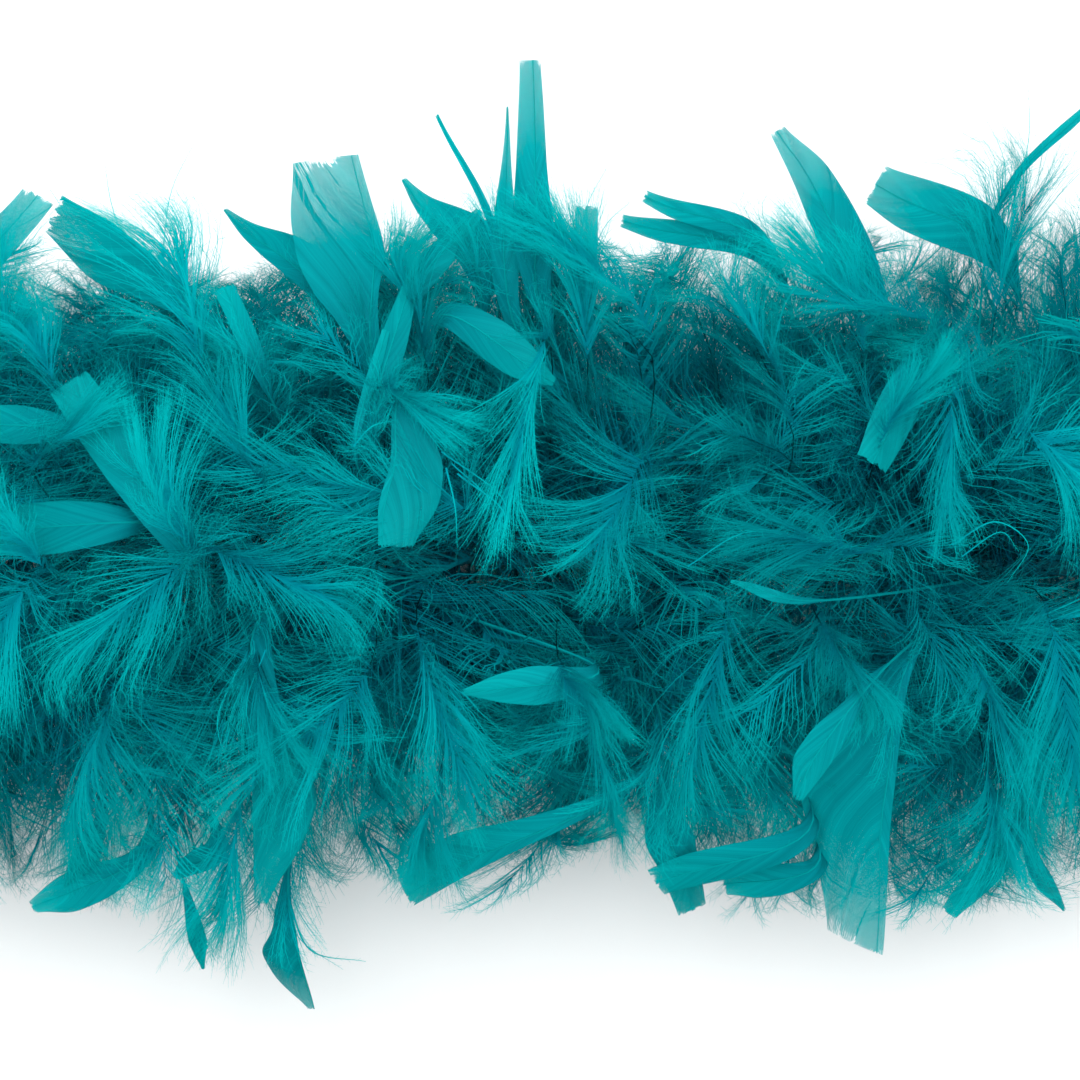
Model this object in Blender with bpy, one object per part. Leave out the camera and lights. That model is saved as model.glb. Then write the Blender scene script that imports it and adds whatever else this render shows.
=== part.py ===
"""Feather boa, laid in a flat S: a jointed core cord, whorls of down on it and blade feathers rooted in it.

Metres, +Z up. The boa lies on the plane z = 0 and its middle crosses the origin. The middle run lies along X.
Distances along the boa are measured from its middle: positive towards the right, negative towards the left.
"""
import math

import bmesh
import bpy
from mathutils import Vector

# Driving dimensions.
BOA_LENGTH = 1.83
CORE_DIAMETER = 0.004
CORE_HEIGHT = 0.058
DOWN_RADIUS = 0.064
GAP = 0.0003

# Stations along the half boa: the joints, the whorls of down and the binding near the end.
BEND_START = 0.180
BEND_END = 0.551
TAIL_START = 0.750
JOINT_CLEARANCE = 0.0012
MIDDLE_WHORLS = (-0.144, -0.072, 0.0, 0.072, 0.144)
BEND_WHORLS = (0.216, 0.3155, 0.415, 0.515)
RUN_WHORLS = (0.587, 0.714)
TAIL_WHORLS = (0.786, 0.870)
WHIPPING_START = 0.888
WHIPPING_LENGTH = 0.012

# The route of the right half, chosen by hand; the left half is the same turned by half a turn about Z.
HALF_ROUTE = (
    (0.000, 0.000), (0.095, -0.002), (0.180, 0.002), (0.2634, 0.0366), (0.298, 0.120), (0.2634, 0.2034),
    (0.180, 0.238), (0.090, 0.243), (0.000, 0.240), (-0.090, 0.243), (-0.200, 0.240),
)
ROUTE_SAMPLES = 24
CORE_POINT_SPACING = 0.024

# A whorl: petals of down, cut flat where the boa rests.
PETALS = 9
PETAL_PEAK_HALF_ANGLE = math.radians(9)
PETAL_VALLEY_RATIO = 0.84
WHORL_HUB_THICKNESS = 0.022
WHORL_RIM_THICKNESS = 0.016
WHORL_BORE_RADIUS = 0.0034

# A blade feather: a quill that swells into a thin vane.
QUILL_RADIUS = 0.0007
VANE_THICKNESS = 0.0006
QUILL_STATIONS = 4
VANE_STATIONS = 6
LIFT_RADIUS = 0.058

# End fittings.
WHIPPING_DIAMETER = 0.0068
KNOT_DIAMETER = 0.010
KNOT_LENGTH = 0.008

# Blades: name, root station, neck, tip, and how far the vane reaches, in millimetres, to the left and right of
# the line from neck to tip, at a quarter, half, three quarters and all of its length.
BLADES = (
    ("upper_blade_1", -0.122, (-0.129, 0.051, 0.100), (-0.110, 0.080, 0.092),
     (4.0, 4.5, 4.0, 3.5), (3.5, 4.5, 4.5, 4.5)),
    ("upper_blade_2", -0.057, (-0.063, 0.043, 0.112), (-0.105, 0.077, 0.096),
     (2.0, 5.5, 10.0, 6.5), (2.5, 4.0, 5.0, 2.5)),
    ("upper_blade_3", -0.048, (-0.047, 0.056, 0.098), (-0.070, 0.078, 0.080),
     (3.0, 3.2, 2.4, 0.4), (7.0, 5.5, 1.8, 0.3)),
    ("upper_blade_4", -0.053, (-0.058, 0.038, 0.118), (-0.067, 0.058, 0.112),
     (2.0, 2.0, 2.0, 2.3), (2.3, 2.6, 2.5, 2.4)),
    ("upper_blade_5", -0.038, (-0.036, 0.044, 0.112), (-0.045, 0.086, 0.108),
     (8.0, 10.5, 10.0, 7.0), (3.5, 8.0, 7.5, 7.0)),
    ("upper_blade_6", -0.032, (-0.035, 0.027, 0.127), (-0.026, 0.064, 0.116),
     (3.2, 2.8, 1.8, 0.3), (3.2, 3.4, 2.4, 0.3)),
    ("upper_blade_7", -0.020, (-0.013, 0.060, 0.100), (-0.030, 0.084, 0.086),
     (3.2, 3.6, 2.6, 0.5), (9.0, 6.0, 1.8, 0.4)),
    ("upper_blade_8", -0.014, (-0.009, 0.066, 0.104), (-0.022, 0.095, 0.108),
     (0.9, 0.8, 0.6, 0.4), (0.9, 0.8, 0.6, 0.4)),
    ("upper_blade_9", 0.014, (-0.001, 0.058, 0.110), (-0.002, 0.106, 0.112),
     (3.8, 2.8, 2.6, 2.3), (5.5, 4.0, 3.0, 2.0)),
    ("upper_blade_10", 0.058, (0.050, 0.066, 0.098), (0.023, 0.080, 0.090),
     (2.6, 3.0, 3.0, 1.5), (2.6, 2.0, 1.4, 1.0)),
    ("upper_blade_11", 0.086, (0.072, 0.056, 0.096), (0.051, 0.093, 0.096),
     (4.8, 3.6, 1.9, 1.1), (6.0, 6.6, 6.2, 2.0)),
    ("upper_blade_12", 0.112, (0.101, 0.066, 0.092), (0.074, 0.083, 0.084),
     (6.2, 7.0, 6.6, 4.4), (6.2, 6.0, 5.5, 4.6)),
    ("upper_blade_13", 0.098, (0.098, 0.074, 0.100), (0.119, 0.099, 0.106),
     (0.8, 1.0, 1.2, 0.7), (0.8, 1.0, 1.2, 0.7)),
    ("centre_blade_1", -0.026, (-0.029, 0.035, 0.131), (-0.030, 0.003, 0.136),
     (6.5, 10.0, 9.0, 3.5), (0.8, 0.6, 3.4, 3.0)),
    ("centre_blade_2", 0.094, (0.081, 0.042, 0.128), (0.068, 0.020, 0.133),
     (3.6, 4.4, 4.4, 3.6), (3.6, 4.4, 4.4, 3.6)),
    ("centre_blade_3", -0.088, (-0.072, 0.001, 0.134), (-0.097, 0.037, 0.130),
     (4.6, 5.2, 5.0, 4.4), (4.6, 5.2, 5.0, 4.4)),
    ("lower_blade_1", -0.056, (-0.060, -0.020, 0.130), (-0.061, -0.074, 0.100),
     (8.5, 15.0, 10.0, 1.5), (0.9, 0.8, 0.7, 0.6)),
    ("lower_blade_2", 0.024, (0.022, -0.046, 0.110), (-0.030, -0.073, 0.086),
     (0.8, 1.2, 2.4, 4.0), (3.0, 5.0, 7.5, 5.0)),
    ("lower_blade_3", 0.034, (0.026, -0.052, 0.108), (0.034, -0.078, 0.080),
     (6.0, 5.2, 4.2, 3.2), (5.0, 3.6, 3.6, 3.4)),
    ("lower_blade_4", 0.090, (0.074, -0.026, 0.128), (0.068, -0.083, 0.100),
     (3.0, 3.6, 5.0, 6.5), (11.5, 18.0, 12.0, 7.0)),
    ("lower_blade_5", 0.108, (0.103, -0.056, 0.104), (0.090, -0.078, 0.086),
     (2.6, 3.0, 2.8, 1.8), (2.6, 3.0, 2.8, 1.8)),
    ("lower_blade_6", -0.098, (-0.086, -0.062, 0.086), (-0.114, -0.078, 0.074),
     (3.0, 4.5, 5.0, 1.2), (3.0, 4.5, 4.0, 1.2)),
    ("lower_blade_7", -0.050, (-0.056, -0.074, 0.082), (-0.052, -0.103, 0.060),
     (1.4, 0.8, 0.5, 0.4), (4.0, 9.0, 7.0, 0.6)),
    ("lower_blade_8", -0.092, (-0.080, -0.078, 0.064), (-0.078, -0.095, 0.052),
     (2.0, 2.2, 1.4, 0.3), (2.0, 2.2, 1.4, 0.3)),
    ("right_outer_blade", 0.3655, (0.366, 0.118, 0.070), (0.400, 0.122, 0.080),
     (6.0, 8.0, 7.0, 3.0), (6.0, 8.0, 7.0, 3.0)),
    ("left_outer_blade", -0.3655, (-0.366, -0.118, 0.070), (-0.400, -0.122, 0.080),
     (6.0, 8.0, 7.0, 3.0), (6.0, 8.0, 7.0, 3.0)),
    ("back_outer_blade", 0.660, (0.080, 0.312, 0.074), (0.078, 0.344, 0.084),
     (6.0, 8.0, 7.5, 6.0), (6.0, 8.0, 7.5, 6.0)),
    ("front_outer_blade", -0.660, (-0.080, -0.312, 0.074), (-0.078, -0.344, 0.084),
     (6.0, 8.0, 7.5, 6.0), (6.0, 8.0, 7.5, 6.0)),
)

COLOURS = {
    "down": (0.010, 0.270, 0.320),
    "blade": (0.020, 0.480, 0.480),
    "core_cord": (0.012, 0.190, 0.230),
    "binding_thread": (0.015, 0.140, 0.170),
}
ROUGHNESS = {"down": 0.9, "blade": 0.45, "core_cord": 0.85, "binding_thread": 0.7}


def clear_scene():
    for obj in list(bpy.data.objects):
        bpy.data.objects.remove(obj, do_unlink=True)


def catmull_rom(p0, p1, p2, p3, t):
    """The point at t, from 0 at p1 to 1 at p2, on the smooth curve through the four points."""
    a = 2 * p1
    b = (p2 - p0) * t
    c = (2 * p0 - 5 * p1 + 4 * p2 - p3) * t * t
    d = (3 * p1 - p0 - 3 * p2 + p3) * t * t * t
    return (a + b + c + d) / 2


def smooth_points(route, samples):
    """Points read from one smooth curve through all of the route's points."""
    ends = [2 * route[0] - route[1], *route, 2 * route[-1] - route[-2]]
    points = []
    for i in range(1, len(ends) - 2):
        for k in range(samples):
            points.append(catmull_rom(ends[i - 1], ends[i], ends[i + 1], ends[i + 2], k / samples))
    points.append(route[-1])
    return points


class Route:
    """The core's centreline, read by the distance along the boa from its middle."""

    def __init__(self):
        half = [Vector((x, y, CORE_HEIGHT)) for x, y in HALF_ROUTE]
        other = [Vector((-x, -y, CORE_HEIGHT)) for x, y in HALF_ROUTE[:0:-1]]
        self.points = smooth_points(other + half, ROUTE_SAMPLES)
        middle = len(self.points) // 2
        self.stations = [0.0]
        for a, b in zip(self.points, self.points[1:]):
            self.stations.append(self.stations[-1] + (b - a).length)
        offset = self.stations[middle]
        self.stations = [s - offset for s in self.stations]

    def point(self, station):
        for i, upper in enumerate(self.stations[1:]):
            if station <= upper:
                t = (station - self.stations[i]) / (upper - self.stations[i])
                return self.points[i].lerp(self.points[i + 1], t)
        return self.points[-1].copy()

    def along(self, station):
        step = 0.002
        return (self.point(station + step) - self.point(station - step)).normalized()


def material(slot):
    if slot in bpy.data.materials:
        return bpy.data.materials[slot]
    made = bpy.data.materials.new(slot)
    made.use_nodes = True
    shader = made.node_tree.nodes["Principled BSDF"]
    shader.inputs["Base Color"].default_value = (*COLOURS[slot], 1.0)
    shader.inputs["Roughness"].default_value = ROUGHNESS[slot]
    shader.inputs["Metallic"].default_value = 0.0
    return made


def lofted(name, rings, slot, closed_loop=False):
    """One closed body through rings of equal length: capped at both ends, or joined round on itself."""
    mesh = bmesh.new()
    made = [[mesh.verts.new(point) for point in ring] for ring in rings]
    pairs = list(zip(made, made[1:]))
    if closed_loop:
        pairs.append((made[-1], made[0]))
    for lower, upper in pairs:
        for i in range(len(lower)):
            j = (i + 1) % len(lower)
            mesh.faces.new((lower[i], lower[j], upper[j], upper[i]))
    if not closed_loop:
        mesh.faces.new(made[0][::-1])
        mesh.faces.new(made[-1])
    bmesh.ops.recalc_face_normals(mesh, faces=mesh.faces)
    data = bpy.data.meshes.new(name)
    mesh.to_mesh(data)
    mesh.free()
    data.materials.append(material(slot))
    obj = bpy.data.objects.new(name, data)
    bpy.context.scene.collection.objects.link(obj)
    return obj


def core_section(name, route, start, end):
    """A tube along the core from start to end, with filled caps."""
    count = max(3, math.ceil((end - start) / CORE_POINT_SPACING) + 1)
    curve = bpy.data.curves.new(name, "CURVE")
    curve.dimensions = "3D"
    curve.bevel_depth = CORE_DIAMETER / 2
    curve.bevel_resolution = 2
    curve.use_fill_caps = True
    spline = curve.splines.new("POLY")
    spline.points.add(count - 1)
    for i in range(count):
        spline.points[i].co = (*route.point(start + (end - start) * i / (count - 1)), 1.0)
    curve.materials.append(material("core_cord"))
    obj = bpy.data.objects.new(name, curve)
    bpy.context.scene.collection.objects.link(obj)
    return obj


def core(route):
    half = BOA_LENGTH / 2
    cuts = (BEND_START, BEND_END, TAIL_START)
    core_section("core_cord_middle", route, JOINT_CLEARANCE - BEND_START, BEND_START - JOINT_CLEARANCE)
    for side, sign in (("right", 1), ("left", -1)):
        names = ("bend", "run", "tail")
        ends = (*cuts[1:], half + JOINT_CLEARANCE)
        for name, near, far in zip(names, cuts, ends):
            stations = sorted((sign * (near + JOINT_CLEARANCE), sign * (far - JOINT_CLEARANCE)))
            core_section(f"core_cord_{side}_{name}", route, *stations)


def petal_angles():
    """The directions of the whorl's outline points: a valley and two peak corners for each petal."""
    pitch = 2 * math.pi / PETALS
    for petal in range(PETALS):
        middle = petal * pitch - math.pi / 2
        yield middle - pitch / 2, PETAL_VALLEY_RATIO
        yield middle - PETAL_PEAK_HALF_ANGLE, 1.0
        yield middle + PETAL_PEAK_HALF_ANGLE, 1.0


def whorl_ring(centre, along, offset, radius):
    """An outline of the whorl at the offset along the boa, resting flat on the plane z = 0."""
    side = along.cross(Vector((0, 0, 1))).normalized()
    ring = []
    for angle, ratio in petal_angles():
        reach = radius * (ratio if radius > WHORL_BORE_RADIUS else 1.0)
        point = centre + along * offset + side * (reach * math.cos(angle))
        point.z = max(0.0, centre.z + reach * math.sin(angle))
        ring.append(point)
    return ring


def down_whorl(name, route, station):
    centre = route.point(station)
    along = route.along(station)
    hub = WHORL_HUB_THICKNESS / 2
    rim = WHORL_RIM_THICKNESS / 2
    outline = ((-hub, WHORL_BORE_RADIUS), (-rim, DOWN_RADIUS), (rim, DOWN_RADIUS), (hub, WHORL_BORE_RADIUS))
    rings = [whorl_ring(centre, along, offset, radius) for offset, radius in outline]
    return lofted(name, rings, "down", closed_loop=True)


def whorls(route):
    for i, station in enumerate(MIDDLE_WHORLS, 1):
        down_whorl(f"middle_down_whorl_{i}", route, station)
    for side, sign in (("right", 1), ("left", -1)):
        for stretch, stations in (("bend", BEND_WHORLS), ("run", RUN_WHORLS), ("tail", TAIL_WHORLS)):
            for i, station in enumerate(stations, 1):
                down_whorl(f"{side}_{stretch}_down_whorl_{i}", route, sign * station)


def vane_reach(t, reaches):
    """How far the vane reaches to one side at t, from 0 at the neck to 1 at the tip."""
    knots = (QUILL_RADIUS, *(max(0.0004, reach / 1000) for reach in reaches))
    place = min(t * 4, 3.999)
    i = int(place)
    return knots[i] + (knots[i + 1] - knots[i]) * (place - i)


def blade_centreline(route, root_station, neck, tip):
    """The quill and vane's own points: out of the core between two whorls, over the down and to the tip."""
    base = route.point(root_station)
    along = route.along(root_station)
    outward = Vector(neck) - base
    outward = (outward - along * outward.dot(along)).normalized()
    root = base + outward * (CORE_DIAMETER / 2 + GAP + QUILL_RADIUS)
    lift = base + outward * LIFT_RADIUS
    return [root, lift, Vector(neck), Vector(tip)]


def blade_ring(point, along, across, left, right, half_thickness):
    up = across.cross(along).normalized()
    middle = (right - left) / 2
    half_width = (right + left) / 2
    ring = []
    for share, height in ((-1, 0), (-0.5, 0.8), (0.5, 0.8), (1, 0), (0.5, -0.8), (-0.5, -0.8)):
        ring.append(point + across * (middle + share * half_width) + up * (height * half_thickness))
    return ring


def blade(route, name, root_station, neck, tip, left, right):
    controls = blade_centreline(route, root_station, neck, tip)
    points = smooth_points(controls, QUILL_STATIONS)[: 2 * QUILL_STATIONS]
    vane_start = len(points)
    points += smooth_points(controls, VANE_STATIONS)[2 * VANE_STATIONS :]
    level = (Vector(tip) - Vector(neck)).cross(Vector((0, 0, 1))).normalized()
    rings = []
    for i, point in enumerate(points):
        along = (points[min(i + 1, len(points) - 1)] - points[max(i - 1, 0)]).normalized()
        across = (level - along * level.dot(along)).normalized()
        t = max(0, i - vane_start) / VANE_STATIONS
        half_thickness = QUILL_RADIUS + (VANE_THICKNESS / 2 - QUILL_RADIUS) * min(1.0, 2 * t)
        reaches = (vane_reach(t, left), vane_reach(t, right))
        rings.append(blade_ring(point, along, across, *reaches, half_thickness))
    return lofted(name, rings, "blade")


def turned(name, route, station, profile, sides, slot, closed_loop=False):
    """A body of revolution about the core; the profile's points are (offset along the core, radius)."""
    centre = route.point(station)
    along = route.along(station)
    side = along.cross(Vector((0, 0, 1))).normalized()
    up = side.cross(along)
    rings = []
    for offset, radius in profile:
        ring = []
        for i in range(sides):
            angle = 2 * math.pi * i / sides
            out = side * math.cos(angle) + up * math.sin(angle)
            ring.append(centre + along * offset + out * radius)
        rings.append(ring)
    return lofted(name, rings, slot, closed_loop)


def end_fittings(route):
    """The thread binding and the knot at each end of the core."""
    sides = 12
    bore = (CORE_DIAMETER / 2 + GAP) / math.cos(math.pi / sides)
    outer = WHIPPING_DIAMETER / 2
    half = WHIPPING_LENGTH / 2
    whipping = ((-half, bore), (-half, outer), (half, outer), (half, bore))
    knot = [
        (-KNOT_LENGTH / 2 * math.cos(a), KNOT_DIAMETER / 2 * (0.45 + 0.55 * math.sin(a)))
        for a in (math.pi * i / 6 for i in range(7))
    ]
    for side, sign in (("right", 1), ("left", -1)):
        middle = sign * (WHIPPING_START + half)
        turned(f"{side}_end_whipping", route, middle, whipping, sides, "binding_thread", True)
        knot_station = sign * (BOA_LENGTH / 2 + GAP + KNOT_LENGTH / 2)
        turned(f"{side}_end_knot", route, knot_station, knot, sides, "core_cord")


def build():
    clear_scene()
    route = Route()
    core(route)
    whorls(route)
    for values in BLADES:
        blade(route, *values)
    end_fittings(route)


build()
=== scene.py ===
"""The feather boa's looks: plumage, blade feathers, twisted core and end bindings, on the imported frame."""
import math

import bpy
import numpy as np
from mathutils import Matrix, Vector


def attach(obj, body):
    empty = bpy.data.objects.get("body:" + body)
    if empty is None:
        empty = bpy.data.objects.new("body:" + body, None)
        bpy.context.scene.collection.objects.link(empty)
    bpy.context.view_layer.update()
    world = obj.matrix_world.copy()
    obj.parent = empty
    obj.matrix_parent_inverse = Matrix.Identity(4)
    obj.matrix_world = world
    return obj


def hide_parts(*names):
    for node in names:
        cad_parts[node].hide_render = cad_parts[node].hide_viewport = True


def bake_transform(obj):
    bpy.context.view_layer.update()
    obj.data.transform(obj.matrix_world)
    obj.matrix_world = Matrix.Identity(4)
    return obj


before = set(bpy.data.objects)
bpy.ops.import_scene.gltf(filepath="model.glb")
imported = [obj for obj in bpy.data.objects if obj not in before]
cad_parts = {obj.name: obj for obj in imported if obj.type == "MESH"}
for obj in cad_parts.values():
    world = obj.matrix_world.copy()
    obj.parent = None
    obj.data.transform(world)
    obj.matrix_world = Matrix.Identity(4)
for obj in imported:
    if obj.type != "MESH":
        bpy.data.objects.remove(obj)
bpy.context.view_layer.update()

# The boa's layout in metres, as in the CAD.
BOA_LENGTH = 1.83
CORE_HEIGHT = 0.058
CORE_DIAMETER = 0.004
BEND_START = 0.180
BEND_END = 0.551
TAIL_START = 0.750
HALF_ROUTE = (
    (0.000, 0.000), (0.095, -0.002), (0.180, 0.002), (0.2634, 0.0366), (0.298, 0.120), (0.2634, 0.2034),
    (0.180, 0.238), (0.090, 0.243), (0.000, 0.240), (-0.090, 0.243), (-0.200, 0.240),
)
# The whorls' places on each half, apart from the one in the middle.
MIDDLE_WHORLS = (0.072, 0.144)
BEND_WHORLS = (0.216, 0.3155, 0.415, 0.515)
RUN_WHORLS = (0.587, 0.714)
TAIL_WHORLS = (0.786, 0.870)
BARE_END = 0.006
LIFT_RADIUS = 0.058

# The lengths and places in the tables from here to UP are in millimetres.

# Blades: name, root's place along the core, neck, tip, and how far the vane reaches to the left of the line
# from neck to tip, at a quarter, half, three quarters and all of it, then to the right where that differs.
BLADES = (
    ("upper_blade_1", -122, (-129, 51, 100), (-110, 80, 92), (4, 4.5, 4, 3.5), (3.5, 4.5, 4.5, 4.5)),
    ("upper_blade_2", -57, (-63, 43, 112), (-105, 77, 96), (2, 5.5, 10, 6.5), (2.5, 4, 5, 2.5)),
    ("upper_blade_3", -48, (-47, 56, 98), (-70, 78, 80), (3, 3.2, 2.4, 0.4), (7, 5.5, 1.8, 0.3)),
    ("upper_blade_4", -53, (-58, 38, 118), (-67, 58, 112), (2, 2, 2, 2.3), (2.3, 2.6, 2.5, 2.4)),
    ("upper_blade_5", -38, (-36, 44, 112), (-45, 86, 108), (8, 10.5, 10, 7), (3.5, 8, 7.5, 7)),
    ("upper_blade_6", -32, (-35, 27, 127), (-26, 64, 116), (3.2, 2.8, 1.8, 0.3), (3.2, 3.4, 2.4, 0.3)),
    ("upper_blade_7", -20, (-13, 60, 100), (-30, 84, 86), (3.2, 3.6, 2.6, 0.5), (9, 6, 1.8, 0.4)),
    ("upper_blade_8", -14, (-9, 66, 104), (-22, 95, 108), (0.9, 0.8, 0.6, 0.4)),
    ("upper_blade_9", 14, (-1, 58, 110), (-2, 106, 112), (3.8, 2.8, 2.6, 2.3), (5.5, 4, 3, 2)),
    ("upper_blade_10", 58, (50, 66, 98), (23, 80, 90), (2.6, 3, 3, 1.5), (2.6, 2, 1.4, 1)),
    ("upper_blade_11", 86, (72, 56, 96), (51, 93, 96), (4.8, 3.6, 1.9, 1.1), (6, 6.6, 6.2, 2)),
    ("upper_blade_12", 112, (101, 66, 92), (74, 83, 84), (6.2, 7, 6.6, 4.4), (6.2, 6, 5.5, 4.6)),
    ("upper_blade_13", 98, (98, 74, 100), (119, 99, 106), (0.8, 1, 1.2, 0.7)),
    ("centre_blade_1", -26, (-29, 35, 131), (-30, 3, 136), (6.5, 10, 9, 3.5), (0.8, 0.6, 3.4, 3)),
    ("centre_blade_2", 94, (81, 42, 128), (68, 20, 133), (3.6, 4.4, 4.4, 3.6)),
    ("centre_blade_3", -88, (-72, 1, 134), (-97, 37, 130), (4.6, 5.2, 5, 4.4)),
    ("lower_blade_1", -56, (-60, -20, 130), (-61, -74, 100), (8.5, 15, 10, 1.5), (0.9, 0.8, 0.7, 0.6)),
    ("lower_blade_2", 24, (22, -46, 110), (-30, -73, 86), (0.8, 1.2, 2.4, 4), (3, 5, 7.5, 5)),
    ("lower_blade_3", 34, (26, -52, 108), (34, -78, 80), (6, 5.2, 4.2, 3.2), (5, 3.6, 3.6, 3.4)),
    ("lower_blade_4", 90, (74, -26, 128), (68, -83, 100), (3, 3.6, 5, 6.5), (11.5, 18, 12, 7)),
    ("lower_blade_5", 108, (103, -56, 104), (90, -78, 86), (2.6, 3, 2.8, 1.8)),
    ("lower_blade_6", -98, (-86, -62, 86), (-114, -78, 74), (3, 4.5, 5, 1.2), (3, 4.5, 4, 1.2)),
    ("lower_blade_7", -50, (-56, -74, 82), (-52, -103, 60), (1.4, 0.8, 0.5, 0.4), (4, 9, 7, 0.6)),
    ("lower_blade_8", -92, (-80, -78, 64), (-78, -95, 52), (2, 2.2, 1.4, 0.3)),
    ("right_outer_blade", 365.5, (366, 118, 70), (400, 122, 80), (6, 8, 7, 3)),
    ("left_outer_blade", -365.5, (-366, -118, 70), (-400, -122, 80), (6, 8, 7, 3)),
    ("back_outer_blade", 660, (80, 312, 74), (78, 344, 84), (6, 8, 7.5, 6)),
    ("front_outer_blade", -660, (-80, -312, 74), (-78, -344, 84), (6, 8, 7.5, 6)),
)
# Smaller feathers that share a piece with a listed blade: that blade's name, neck, tip and reaches.
COMPANIONS = (
    ("upper_blade_9", (-6, 52, 104), (-7, 97, 106), (3, 2.2, 0.9, 0.2), (3.2, 2.4, 1, 0.2)),
    ("upper_blade_9", (10, 52, 106), (10, 76, 104), (2.6, 2.6, 2.5, 2.4)),
    ("upper_blade_10", (51, 64, 92), (18, 75, 85), (2.4, 3.2, 3, 1.4), (2.4, 2.6, 2.2, 1.2)),
    ("upper_blade_7", (-30, 52, 100), (-13, 76, 96), (3, 3.4, 2.8, 0.8)),
    ("upper_blade_6", (-38, 22, 130), (-32, 48, 124), (0.9, 1.1, 1.2, 0.8)),
    ("centre_blade_1", (-22, 51, 120), (3, 37, 127), (3.4, 4.4, 3.8, 0.6), (3.4, 4.6, 4.2, 0.6)),
    ("centre_blade_1", (12, -22, 132), (-16, -27, 130), (3, 4.2, 3, 0.4)),
    ("centre_blade_2", (56, -8, 134), (39, -4, 134), (0.8, 1.3, 1, 0.3)),
    ("centre_blade_3", (-83, 8, 130), (-117, 6, 124), (4.6, 5.6, 5.4, 4)),
    ("centre_blade_3", (-94, 26, 126), (-122, 29, 118), (3.2, 4.2, 4, 3)),
    ("lower_blade_3", (58, -55, 110), (25, -70, 96), (3.4, 4.2, 4.4, 4), (3.4, 4.2, 4.4, 3.4)),
    ("lower_blade_3", (60, -62, 104), (40, -71, 90), (3, 4.4, 4.6, 2.4), (2.4, 3, 3.2, 2)),
    ("lower_blade_4", (68, -24, 137), (53, -49, 134), (1.2, 2.2, 1.8, 0.4), (2.4, 5.2, 6, 1.6)),
    ("lower_blade_5", (107, -62, 90), (118, -79, 72), (2.2, 2.2, 1.4, 0.3)),
    ("lower_blade_6", (-96, -56, 90), (-106, -73, 78), (2.2, 2.8, 2, 0.3)),
    ("lower_blade_8", (-70, -58, 96), (-80, -70, 88), (2.6, 3.6, 3, 0.8)),
)
# Where a vane's quill runs: 0 along its left edge, 1 along its right edge. The others run down the middle.
QUILL_PLACES = {
    "upper_blade_2": 0.95, "upper_blade_3": 0.3, "upper_blade_5": 0.88, "upper_blade_7": 0.3,
    "upper_blade_9": 0.62, "upper_blade_11": 0.42, "centre_blade_1": 0.9, "lower_blade_1": 0.04,
    "lower_blade_2": 0.3, "lower_blade_4": 0.1, "lower_blade_7": 0.05,
}
# How see-through a vane's end is. The others' ends are nearly closed.
PALE_ENDS = {
    "upper_blade_1": 0.5, "upper_blade_5": 0.75, "upper_blade_9": 0.5, "upper_blade_11": 0.6,
    "upper_blade_12": 0.3, "centre_blade_3": 0.5, "lower_blade_4": 0.9, "lower_blade_7": 0.5,
}

# Plumes of down that lie over the rest: base, tip, barb length, spread in degrees, and tone from 0 to 1.
PLUMES = (
    ((-72, 42, 112), (-78, 66, 104), 38, 22, 0.8), ((23, 50, 120), (3, 70, 118), 26, 26, 0.45),
    ((85, 48, 122), (58, 56, 120), 26, 34, 0.4), ((86, 56, 122), (83, 12, 137), 22, 38, 0.12),
    ((22, 22, 134), (12, 4, 138), 26, 52, 0.15), ((-68, 3, 136), (-94, -16, 130), 28, 36, 0.7),
    ((-68, 3, 136), (-44, -7, 136), 26, 42, 0.25), ((2, 48, 127), (-7, 12, 137), 26, 22, 0.85),
    ((90, -22, 130), (106, -52, 112), 28, 30, 0.4), ((38, -11, 135), (31, -46, 120), 28, 34, 0.35),
    ((-88, -27, 130), (-100, -57, 104), 30, 34, 0.65), ((-25, -15, 134), (-15, -48, 120), 28, 34, 0.45),
    ((98, 27, 132), (115, 14, 130), 26, 40, 0.55), ((65, 2, 137), (46, 6, 137), 24, 46, 0.15),
    ((-100, 35, 124), (-109, 52, 114), 26, 32, 0.6), ((-58, 16, 128), (-68, 36, 116), 26, 26, 0.4),
    ((-12, 10, 130), (-44, 16, 122), 26, 40, 0.35), ((-36, -24, 132), (-60, -46, 118), 28, 36, 0.55),
    ((10, -30, 132), (16, -58, 112), 26, 32, 0.6), ((104, -10, 134), (112, -44, 120), 28, 36, 0.45),
    ((52, 30, 132), (40, 58, 116), 26, 34, 0.55), ((-104, -4, 134), (-116, -20, 128), 28, 38, 0.75),
    ((10, 46, 112), (7, 64, 104), 32, 15, 0.7), ((98, 56, 104), (105, 76, 98), 36, 24, 0.6),
    ((68, 48, 116), (60, 64, 108), 28, 26, 0.75), ((-24, 44, 118), (-30, 62, 110), 28, 22, 0.5),
    ((-64, -52, 108), (-70, -76, 86), 30, 22, 0.75), ((94, -46, 118), (100, -64, 100), 28, 24, 0.7),
    ((-20, -42, 122), (-26, -60, 106), 26, 24, 0.4), ((-112, 44, 112), (-118, 60, 100), 30, 24, 0.65),
    ((-70, 2, 137), (-78, 18, 137), 26, 24, 0.55), ((-104, 20, 134), (-94, 28, 136), 20, 28, 0.45),
    ((-100, -2, 136), (-110, 10, 134), 20, 26, 0.5), ((70, 26, 136), (78, 38, 134), 20, 26, 0.45),
    ((-34, 36, 132), (-22, 30, 136), 18, 28, 0.4), ((-58, -20, 134), (-53, -34, 132), 20, 24, 0.3),
    ((4, -22, 136), (12, -30, 134), 18, 30, 0.25), ((58, -14, 136), (66, -24, 136), 20, 26, 0.3),
)
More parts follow.
